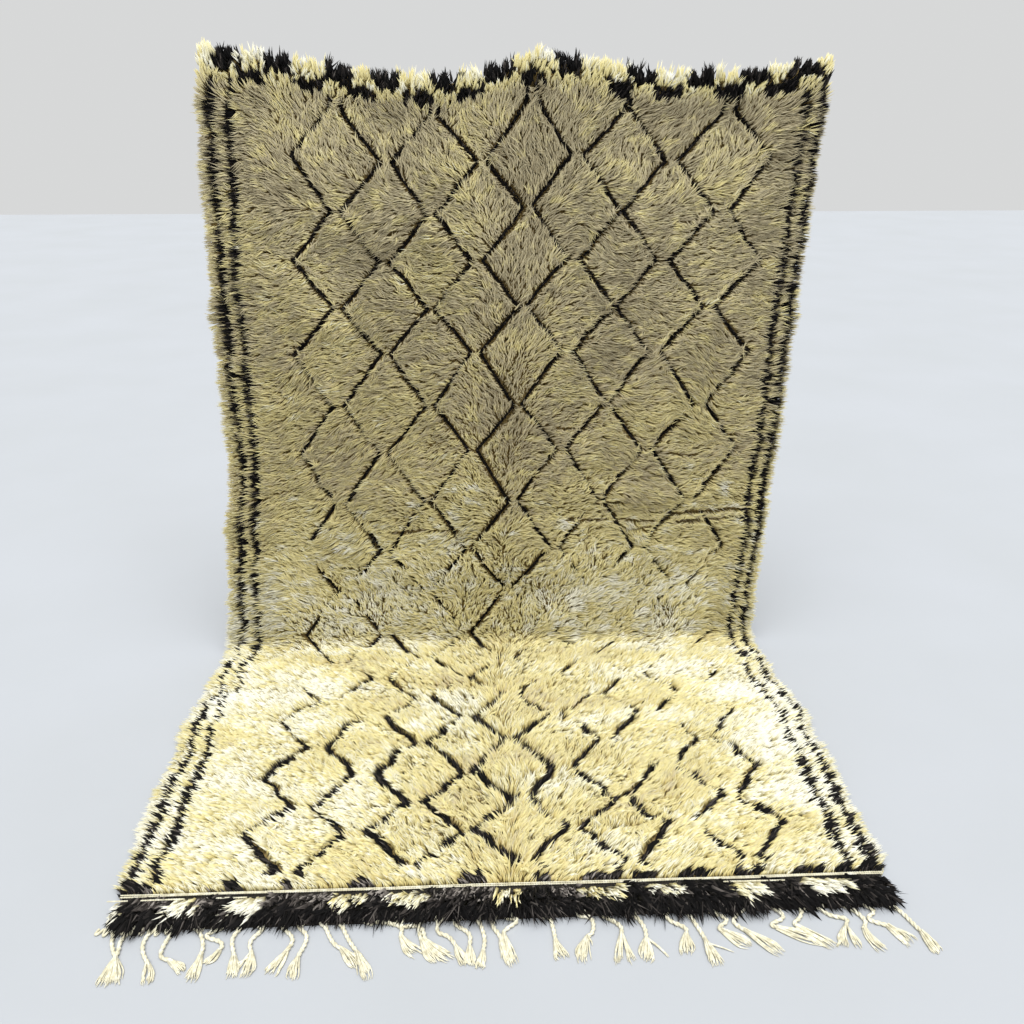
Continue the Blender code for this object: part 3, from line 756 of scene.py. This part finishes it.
# ---- materials ----
def linear(colour):
    """A colour written as sRGB hex, as the shader wants it."""
    parts = [int(colour[i:i + 2], 16) / 255 for i in (1, 3, 5)]
    return tuple(c / 12.92 if c <= 0.04045 else ((c + 0.055) / 1.055) ** 2.4 for c in parts) + (1.0,)


def add_node(tree, kind, settings=(), values=(), links=()):
    """One shader node, with its settings, its sockets' values and what is linked to them."""
    made = tree.nodes.new(kind)
    for name, value in dict(settings).items():
        setattr(made, name, value)
    for name, value in dict(values).items():
        made.inputs[name].default_value = value
    for name, source in dict(links).items():
        tree.links.new(source, made.inputs[name])
    return made


def maths(tree, operation, *terms):
    """The result of a Math node whose terms are numbers or other nodes' outputs."""
    numbers = {i: term for i, term in enumerate(terms) if isinstance(term, float)}
    sources = {i: term for i, term in enumerate(terms) if not isinstance(term, float)}
    return add_node(tree, "ShaderNodeMath", {"operation": operation}, numbers, sources).outputs[0]


def uv_place(tree, name):
    return add_node(tree, "ShaderNodeUVMap", {"uv_map": name}).outputs[0]


def split(tree, vector):
    """The first two parts of a vector."""
    parts = add_node(tree, "ShaderNodeSeparateXYZ", links={0: vector})
    return parts.outputs["X"], parts.outputs["Y"]


def ramp(tree, value, stops):
    """The colour that a value has among (place, hex colour) stops."""
    made = add_node(tree, "ShaderNodeValToRGB", links={0: value})
    elements = made.color_ramp.elements
    while len(elements) > 1:
        elements.remove(elements[-1])
    for i, (place, colour) in enumerate(stops):
        stop = elements[0] if i == 0 else elements.new(place)
        stop.position = place
        stop.color = linear(colour)
    return made.outputs[0]


def own_place(tree):
    """Places in the object's own metres."""
    return add_node(tree, "ShaderNodeTexCoord").outputs["Object"]


def mapped(tree, place, values):
    """A place moved, turned or scaled."""
    return add_node(tree, "ShaderNodeMapping", {}, values, {"Vector": place}).outputs[0]


def mottle(tree, place, scale, detail):
    """Soft noise over a place."""
    values = {"Scale": scale, "Detail": detail}
    return add_node(tree, "ShaderNodeTexNoise", {}, values, {"Vector": place}).outputs[0]


def bricks(tree, place, offset, sizes, colours):
    """Rows of bricks, with the colours of two kinds of brick and of what is between them."""
    names = ("Color1", "Color2", "Mortar")
    values = {"Scale": 1.0, **sizes, **{name: linear(colour) for name, colour in zip(names, colours)}}
    return add_node(tree, "ShaderNodeTexBrick", {"offset": offset}, values, {"Vector": place}).outputs


def blend(tree, share, first, second, blend_type="MIX"):
    """Two colours blended by a share; the second may be a fixed colour."""
    fixed = {7: second} if isinstance(second, tuple) else {}
    linked = {0: share, 6: first} if fixed else {0: share, 6: first, 7: second}
    settings = {"data_type": "RGBA", "blend_type": blend_type}
    return add_node(tree, "ShaderNodeMix", settings, fixed, linked).outputs[2]


def raise_by(tree, shader, height, strength, distance, invert=False):
    """Bump, with the distance in metres between the lowest and the highest."""
    values = {"Strength": strength, "Distance": distance}
    made = add_node(tree, "ShaderNodeBump", {"invert": invert}, values, {"Height": height})
    tree.links.new(made.outputs[0], shader.inputs["Normal"])


def new_material(name):
    """A material with its node tree and its shader."""
    made = bpy.data.materials.new(name)
    made.use_nodes = True
    return made, made.node_tree, made.node_tree.nodes["Principled BSDF"]


def set_shader(shader, values):
    for name, value in values.items():
        shader.inputs[name].default_value = value


def pile_wool():
    """Hand-spun sheep's wool, undyed cream and natural black. Its scales scatter the light, so it
    is matt with a soft sheen. Its colour is pale at the tips and darker at the roots: painted shade for the
    shade between the locks."""
    made, tree, shader = new_material("hand_spun_sheep_wool_pile")
    set_shader(shader, {"Roughness": 0.82, "IOR": 1.55, "Sheen Weight": 0.03, "Sheen Roughness": 0.4,
                        "Specular IOR Level": 0.12, "Sheen Tint": linear("#F6EED2")})
    tone, along = split(tree, uv_place(tree, "OFBake"))
    # the darkest cream tones, near 0, are painted shade for the bottom of slumped partings; black wool from
    # 0.90
    tips = ramp(tree, tone, (
        (0.0, "#46392A"), (0.07, "#7F7154"), (0.14, "#A4987A"), (0.26, "#C0B596"), (0.42, "#D6CA9A"),
        (0.58, "#E5D89B"), (0.70, "#E7E1C3"), (0.84, "#F3EFDE"), (0.89, "#F3EFDE"), (0.90, "#050404"),
        (0.93, "#110F0F"), (0.96, "#453F3B"), (1.0, "#A89F96"),
    ))
    # roots: painted shade between the locks, blended towards the tip colours along each lock
    roots = ramp(tree, tone, (
        (0.0, "#2E2519"), (0.12, "#6F6040"), (0.28, "#B8A67C"), (0.40, "#AB985F"), (0.55, "#A59560"),
        (0.66, "#877A4B"), (0.89, "#A69B70"), (0.90, "#040303"), (0.94, "#0B0A0A"), (1.0, "#3A3533"),
    ))
    # worn: the share of tip colour along a lock; below it the painted shade of the root shows
    worn = add_node(tree, "ShaderNodeMapRange", {"interpolation_type": "SMOOTHSTEP"},
                    {"From Min": 0.05, "From Max": 0.85}, {"Value": along})
    tree.links.new(blend(tree, worn.outputs[0], roots, tips), shader.inputs["Base Color"])
    # fibres run along the lock, about eight round it
    stretched = mapped(tree, uv_place(tree, "fibre"), {"Scale": (8.0, 1.5, 1.0)})
    raise_by(tree, shader, mottle(tree, stretched, 1.0, 2.0), 0.3, 0.0006)
    return made


def net_behind(tree, across, at_top):
    """Where the net shows on the back: the chart's whole numbers are its lines and its turns."""
    cell, row = split(tree, uv_place(tree, "chart"))
    line = maths(tree, "ROUND", cell)
    off = maths(tree, "SUBTRACT", cell, line)
    turned = maths(tree, "ADD", row, maths(tree, "PINGPONG", line, 1.0))
    aim = maths(tree, "MULTIPLY_ADD", maths(tree, "PINGPONG", turned, 1.0), -0.8, 0.4)
    apart = maths(tree, "ABSOLUTE", maths(tree, "SUBTRACT", off, aim))
    drawn = maths(tree, "LESS_THAN", apart, 0.042)
    # between the plain margins, from 575 mm left to 675 mm right of the middle, and below the blocks
    inward = maths(tree, "ABSOLUTE", maths(tree, "SUBTRACT", across, 50.0))
    inside = maths(tree, "LESS_THAN", inward, 625.0)
    return maths(tree, "MULTIPLY", drawn, maths(tree, "SUBTRACT", inside, at_top))


def stripes_behind(tree, across):
    """Where the two stripes 44 mm apart show along each side."""
    from_middle = maths(tree, "ABSOLUTE", maths(tree, "SUBTRACT", across, 9.0))
    from_pair = maths(tree, "ABSOLUTE", maths(tree, "SUBTRACT", from_middle, 722.0))
    from_stripe = maths(tree, "ABSOLUTE", maths(tree, "SUBTRACT", from_pair, 22.0))
    return maths(tree, "LESS_THAN", from_stripe, 6.0)


def cloth_wool():
    """Ground cloth of cream wool weft over wool warp. Its back shows rows of knots, cream or black
    as the drawing has them; on the pile side it is matted, and darkened by painted shade for the shade of
    the locks over it."""
    made, tree, shader = new_material("knotted_wool_ground")
    set_shader(shader, {"Roughness": 0.9, "IOR": 1.55, "Sheen Weight": 0.1, "Sheen Roughness": 0.5})
    weave = uv_place(tree, "weave")
    across, along = split(tree, weave)
    at_top = maths(tree, "LESS_THAN", along, 2.0 * EDGE_ROW / MM)
    at_end = maths(tree, "GREATER_THAN", along, PARTING_S / MM - 12.0)
    sizes = {"Scale": (MM / BLOCK, MM / EDGE_ROW, 0.0), "Location": (0.5, 0.0, 0.5)}
    squares = mapped(tree, weave, sizes)
    checks = add_node(tree, "ShaderNodeTexChecker", {}, {"Scale": 1.0}, {"Vector": squares})
    blocks = maths(tree, "MULTIPLY", checks.outputs["Fac"], at_top)
    dark = net_behind(tree, across, at_top)
    for more in (stripes_behind(tree, across), blocks, at_end):
        dark = maths(tree, "MAXIMUM", dark, more)
    # knots 7 by 8 mm, in a cloth laid out in millimetres
    sizes = {"Mortar Size": 0.9, "Mortar Smooth": 1.0, "Brick Width": 7.0, "Row Height": 8.0}
    knots = bricks(tree, weave, 0.0, sizes, ("#CFC196", "#B9A878", "#8C7C54"))
    dark_knots = bricks(tree, weave, 0.0, sizes, ("#171412", "#241F1B", "#4A412F"))
    back = blend(tree, dark, knots["Color"], dark_knots["Color"])
    # painted shade: the pile side is darkened, for the shade under the locks
    pile_side = add_node(tree, "ShaderNodeAttribute", {"attribute_name": "pile_side"})
    shade = blend(tree, pile_side.outputs["Fac"], back, linear("#C4B48C"), "MULTIPLY")
    tree.links.new(shade, shader.inputs["Base Color"])
    raise_by(tree, shader, knots["Fac"], 0.8, 0.0012, invert=True)
    return made


def strip_wool():
    """Flat weave of black wool weft over ivory warp: ribs across, the warp just showing between."""
    made, tree, shader = new_material("black_weft_flat_weave")
    set_shader(shader, {"Roughness": 0.9, "IOR": 1.55, "Specular IOR Level": 0.2})
    tipped = mapped(tree, own_place(tree), {"Rotation": (0.6, 0.0, 0.0)})
    # warps 4 mm apart across the rug, weft ribs 2 mm apart
    sizes = {"Mortar Size": 0.0005, "Mortar Smooth": 0.6, "Brick Width": 0.004, "Row Height": 0.002}
    ribs = bricks(tree, tipped, 0.5, sizes, ("#0C0A09", "#191512", "#2C2620"))
    tree.links.new(ribs["Color"], shader.inputs["Base Color"])
    raise_by(tree, shader, ribs["Fac"], 0.7, 0.0008, invert=True)
    return made


def warp_wool():
    """Plied ivory wool warp, smoother and paler than the pile."""
    made, tree, shader = new_material("plied_wool_warp")
    set_shader(shader, {"Roughness": 0.75, "IOR": 1.55, "Sheen Weight": 0.2, "Sheen Roughness": 0.4})
    fuzz = mottle(tree, own_place(tree), 90.0, 3.0)
    colour = ramp(tree, fuzz, ((0.25, "#B7AF92"), (0.5, "#D6CFB4"), (0.75, "#EBE7D6")))
    tree.links.new(colour, shader.inputs["Base Color"])
    raise_by(tree, shader, fuzz, 0.5, 0.0006)
    return made


def floor_plaster():
    """Pale matt floor, very slightly mottled."""
    made, tree, shader = new_material("pale_matt_floor")
    set_shader(shader, {"Roughness": 0.8})
    colour = ramp(tree, mottle(tree, own_place(tree), 1.5, 6.0), ((0.3, "#A7A9AC"), (0.7, "#AAACB0")))
    tree.links.new(colour, shader.inputs["Base Color"])
    return made


# ---- cloth, cords and tassels ----
def shown(name, data):
    """An object of the scene for a mesh, camera or light."""
    piece = bpy.data.objects.new(name, data)
    bpy.context.scene.collection.objects.link(piece)
    return piece


def worked(name, bm, finish):
    """The worked shape as an object of the scene."""
    mesh = bpy.data.meshes.new(name)
    bm.to_mesh(mesh)
    bm.free()
    mesh.materials.append(finish)
    return shown(name, mesh)


def ground_cloth(finish):
    """The knotted cloth that carries the pile: a thin slab, worked flat and then laid."""
    bm = bmesh.new()
    bmesh.ops.create_grid(bm, x_segments=64, y_segments=130, size=0.5)
    weave = bm.loops.layers.uv.new("weave")
    chart = bm.loops.layers.uv.new("chart")
    pile_side = bm.verts.layers.float.new("pile_side")
    for v in bm.verts:
        v.co = (v.co.x * WIDTH, (v.co.y + 0.5) * FLAT_LENGTH, 0.0)
    top = bmesh.ops.extrude_face_region(bm, geom=bm.faces[:])
    for v in top["geom"]:
        if isinstance(v, bmesh.types.BMVert):
            v.co.z = CLOTH_THICKNESS
            v[pile_side] = 1.0
    hanging, floor = (np.array((lines[0] - NET_CELL, *lines, lines[-1] + NET_CELL))
                      for lines in (NET_LINES, FLOOR_LINES))
    for f in bm.faces:
        for loop in f.loops:
            x, s, _ = loop.vert.co
            loop[weave].uv = (x / MM, s / MM)
            lines = hanging + (floor - hanging) * fade(s, 1.5, 2.0)
            loop[chart].uv = (np.interp(x, lines, np.arange(-1, len(NET_LINES) + 1)),
                              np.interp(s, NET_TURNS, np.arange(len(NET_TURNS))))
    flat = np.array([v.co for v in bm.verts])
    laid = lay(flat)
    laid[:, 2] = np.maximum(laid[:, 2], 0.0002)
    for v, place in zip(bm.verts, laid):
        v.co = place
    bmesh.ops.recalc_face_normals(bm, faces=bm.faces[:])
    piece = worked("ground_cloth", bm, finish)
    piece.data.shade_smooth()
    return piece


def tubes(name, routes, sides, finish):
    """Round strands along routes of (x, y, z, radius) rows, as one mesh."""
    curve = bpy.data.curves.new(name, "CURVE")
    curve.dimensions = "3D"
    curve.bevel_depth = 1.0
    curve.bevel_resolution = sides
    curve.use_fill_caps = True
    for route in routes:
        spline = curve.splines.new("POLY")
        spline.points.add(len(route) - 1)
        places = np.column_stack((route[:, :3], np.ones(len(route))))
        spline.points.foreach_set("co", places.ravel())
        spline.points.foreach_set("radius", route[:, 3])
    drawn = bpy.data.objects.new(name + "_line", curve)
    mesh = bpy.data.meshes.new_from_object(drawn)
    mesh.name = name
    bpy.data.objects.remove(drawn)
    bpy.data.curves.remove(curve)
    mesh.materials.clear()
    mesh.materials.append(finish)
    mesh.shade_smooth()
    return shown(name, mesh)


PLY_RADIUS = 0.0028
PLY_TURN = 0.0017  # from the cord's middle to each ply's middle
PLY_PITCH = 0.024
HEAD_SPREAD = 0.008
HEAD_LENGTH = 0.016
CORD_STEPS = 40
STRANDS = 22  # in a tuft
STRAND_STEPS = 7
CORD_START = 0.012  # of a tassel's cord, behind the strip's front edge
STRAND_RADIUS = 0.0019
STRAY_RADIUS = 0.0017
LOOP_RADIUS = 0.0026
LOOP_START = 0.006  # of a loop, behind the strip's front edge
TWINE_RADIUS = 0.0010  # of one strand of the twined cord
TWINE_PITCH = 0.010
TWINE_APART = 0.0022  # of the cord's two runs, from the parting's middle
SECOND_CORD = (0.030, 0.030)  # of the second cord: past the first, and height


def cord_route(row):
    """Places and side directions along a tassel's cord: its bends are rounded by cutting corners."""
    path = np.array([(row["root"], -CORD_START), (row["root"], 0.0), (row["bend_x"], row["bend"]),
                     (row["turn_x"], row["turn"]), (row["end_x"], row["end"])])
    path[2:4] += 0.45 * (path[2:4] - (path[1:3] + path[3:5]) / 2)
    for _ in range(3):
        early = path[:-1] * 0.75 + path[1:] * 0.25
        late = path[:-1] * 0.25 + path[1:] * 0.75
        path = np.vstack((path[:1], np.stack((early, late), axis=1).reshape(-1, 2), path[-1:]))
    gone = np.concatenate(([0.0], np.cumsum(np.hypot(*np.diff(path, axis=0).T))))
    even = np.linspace(0.0, gone[-1], CORD_STEPS)
    x = np.interp(even, gone, path[:, 0])
    y = STRIP_FRONT_Y - np.interp(even, gone, path[:, 1])
    step = np.stack((np.gradient(x), np.gradient(y)), axis=1)
    step /= np.linalg.norm(step, axis=1)[:, None]
    return x, y, np.stack((-step[:, 1], step[:, 0]), axis=1), even


def cord_plies(row):
    """Two plies that leave the cloth apart, join, and twist round each other to the tuft."""
    x, y, side, gone = cord_route(row)
    apart = HEAD_SPREAD * (1.0 - fade(gone, 0.004, CORD_START + HEAD_LENGTH))
    joined_here = fade(gone, 0.010, CORD_START + HEAD_LENGTH)
    routes = []
    for ply in (0.0, math.pi):
        turn = gone / PLY_PITCH * math.tau + ply
        off = np.cos(turn) * PLY_TURN * joined_here + math.cos(ply) * apart
        up = PLY_RADIUS + PLY_TURN * (1.0 + np.sin(turn) * joined_here)
        thick = PLY_RADIUS * (1.0 - 0.25 * fade(gone, gone[-1] - 0.012, gone[-1]))
        routes.append(np.column_stack((x + side[:, 0] * off, y + side[:, 1] * off, up, thick)))
    return routes


def tuft_routes(row, rng):
    """Loose strands from the cord's end to the tip, some drawn in again, most splayed."""
    x, y, side, _ = cord_route(row)
    ahead = np.array((side[-1][1], -side[-1][0]))
    start = np.array((x[-1], y[-1])) - ahead * 0.006
    tip = np.array((row["tip_x"], STRIP_FRONT_Y - row["tip"]))
    axis = tip - start
    span = np.linalg.norm(axis)
    axis /= span
    across = np.array((-axis[1], axis[0]))
    drawn_in = rng.uniform(0.1, 0.8)
    routes = []
    t = np.linspace(0.0, 1.0, STRAND_STEPS)
    open_out = (1.0 - drawn_in) * t ** 0.9 + drawn_in * 1.1 * np.sin(math.pi * np.minimum(1.0, 0.85 * t))
    for _ in range(STRANDS):
        share = rng.uniform(-1.0, 1.0)
        reach = span * rng.uniform(0.74, 1.04)
        swell = share * (0.0030 + 1.2 * row["spread"] * open_out)
        wave = 0.0022 * (np.sin(t * rng.uniform(3.0, 8.0) + rng.uniform(0.0, 6.0)) - 0.2) * t
        heap = 0.0080 * rng.uniform(0.1, 1.0) * (1.0 - share ** 2) * (1.0 - 0.8 * t ** 1.5)
        place = start + axis * (reach * t)[:, None] + across * (swell + wave)[:, None]
        place += ahead * (0.006 * np.sin(math.pi * t))[:, None]
        thick = STRAND_RADIUS * (1.0 - 0.8 * t ** 2.5)
        routes.append(np.column_stack((place, 0.0020 + heap, thick)))
    return routes


def stray_routes(rng):
    """Single thick strands that left their tuft, three yarns each."""
    routes = []
    t = np.linspace(0.0, 1.0, STRAND_STEPS)
    for from_x, from_reach, to_x, to_reach in np.array(STRAYS) * MM:
        for _ in range(3):
            px = from_x + (to_x - from_x) * t + rng.uniform(-0.0016, 0.0016) + 0.003 * np.sin(3.0 * t)
            py = STRIP_FRONT_Y - from_reach - (to_reach - from_reach) * t * rng.uniform(0.9, 1.05)
            height = 0.0022 + 0.003 * (1.0 - t)
            routes.append(np.column_stack((px, py, height, STRAY_RADIUS * (1.0 - 0.7 * t ** 3))))
    return routes


def loop_routes():
    """Short loops of two yarns just beyond the strip."""
    routes = []
    t = np.linspace(0.0, math.pi, 8)
    for place, reach, lean in np.array(LOOPS) * MM:
        px = place + 0.0045 * np.cos(t) + lean * np.sin(t)
        py = STRIP_FRONT_Y + LOOP_START - (reach + LOOP_START) * np.sin(t)
        routes.append(np.column_stack((px, py, np.full(8, 0.004), np.full(8, LOOP_RADIUS))))
    return routes


def make_fringe(finish):
    """The tassels with their cords and tufts, the stray strands and the loops."""
    rng = np.random.default_rng(SEED + 1)
    rows = [dict(zip(TASSEL_COLUMNS, (value * MM for value in tassel))) for tassel in TASSELS]
    cords = [route for row in rows for route in cord_plies(row)] + loop_routes()
    strands = [route for row in rows for route in tuft_routes(row, rng)] + stray_routes(rng)
    return [tubes("fringe_cords", cords, 1, finish), tubes("fringe_tufts", strands, 0, finish)]


def cord_strands(start, end, place, height):
    """Two strands twined round each other across the rug, at a place along it."""
    x = np.arange(start, end, 0.0022)
    wander = 0.0020 * lumps(6.0 * x, np.full(x.shape, 900.0 * place), 1.0, 5.0)
    routes = []
    for phase in (0.0, math.pi):
        turn = x / TWINE_PITCH * math.tau + phase
        along = place + wander + TWINE_RADIUS * np.cos(turn)
        flat = np.column_stack((x, along, height + 0.9 * TWINE_RADIUS * np.sin(turn)))
        routes.append(np.column_stack((lay(flat), np.full(len(x), TWINE_RADIUS))))
    return routes


def twined_cord(finish):
    """Two thin cords side by side in the parting of the pile, and a third that shows in places."""
    routes = []
    for off in (-TWINE_APART, TWINE_APART):
        routes += cord_strands(-HALF, HALF, PARTING_S + off, CORD_HEIGHT)
    for start, end in SHOWN_CORDS:
        routes += cord_strands(start, end, PARTING_S + SECOND_CORD[0], SECOND_CORD[1])
    return tubes("twined_cord", routes, 0, finish)


def end_strip(finish):
    """The flat-woven end beyond the pile, its weft ribs raised."""
    bm = bmesh.new()
    bmesh.ops.create_cube(bm, size=1.0)
    width = WIDTH * WIDTHS[-1][1]
    bmesh.ops.scale(bm, vec=(width, STRIP_DEPTH, STRIP_THICKNESS), verts=bm.verts)
    bmesh.ops.translate(bm, vec=(0.0, STRIP_FRONT_Y + STRIP_DEPTH / 2, STRIP_THICKNESS / 2), verts=bm.verts)
    bmesh.ops.bevel(bm, geom=bm.edges[:], offset=0.0018, affect="EDGES", segments=2, profile=0.5,
                    material=-1)
    return worked("end_strip", bm, finish)


# ---- studio ----
CEILING_TILT = 22.0  # degrees that the soft overhead light leans towards the rug's front
CEILING_SPREAD = 60.0  # degrees of sky that the light comes from
CEILING_STRENGTH = 4.0
BACKDROP_STRENGTH = 0.82
EYE = (-0.0665, -2.13, 1.5)
LOOKS_DOWN = 21.59  # degrees
LOOKS_RIGHT = 2.6
LENS_MM = 36.04
SENSOR_MM = 36.0


def make_studio():
    """A pale floor, an even backdrop, and one soft light from overhead."""
    bm = bmesh.new()
    bmesh.ops.create_grid(bm, x_segments=8, y_segments=8, size=14.0)
    floor = worked("floor", bm, floor_plaster())
    world = bpy.data.worlds.new("studio")
    bpy.context.scene.world = world
    world.use_nodes = True
    back = world.node_tree.nodes["Background"]
    back.inputs["Color"].default_value = linear("#EBECEC")
    back.inputs["Strength"].default_value = BACKDROP_STRENGTH
    ceiling = bpy.data.lights.new("ceiling", "SUN")
    ceiling.energy = CEILING_STRENGTH
    ceiling.color = (0.955, 0.985, 1.0)
    ceiling.angle = math.radians(CEILING_SPREAD)
    holder = shown("ceiling", ceiling)
    holder.rotation_euler = (math.radians(CEILING_TILT), 0.0, 0.0)


def make_camera():
    """Eye height, looking down at the rug's middle."""
    camera = bpy.data.cameras.new("camera")
    camera.sensor_width = SENSOR_MM
    camera.lens = LENS_MM
    holder = shown("camera", camera)
    holder.location = EYE
    holder.rotation_euler = (math.radians(90.0 - LOOKS_DOWN), 0.0, math.radians(-LOOKS_RIGHT))
    bpy.context.scene.camera = holder


def main():
    make_studio()
    make_camera()
    bpy.context.scene.view_settings.view_transform = "Standard"
    pile = make_pile(pile_wool())
    warp = warp_wool()
    cloth = ground_cloth(cloth_wool())
    cord = twined_cord(warp)
    strip = end_strip(strip_wool())
    fringe = make_fringe(warp)
    for piece in [cloth, cord, strip] + pile + fringe:
        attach(piece, "root")
    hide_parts("rug_shag")
    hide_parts("fringe_strip")


main()
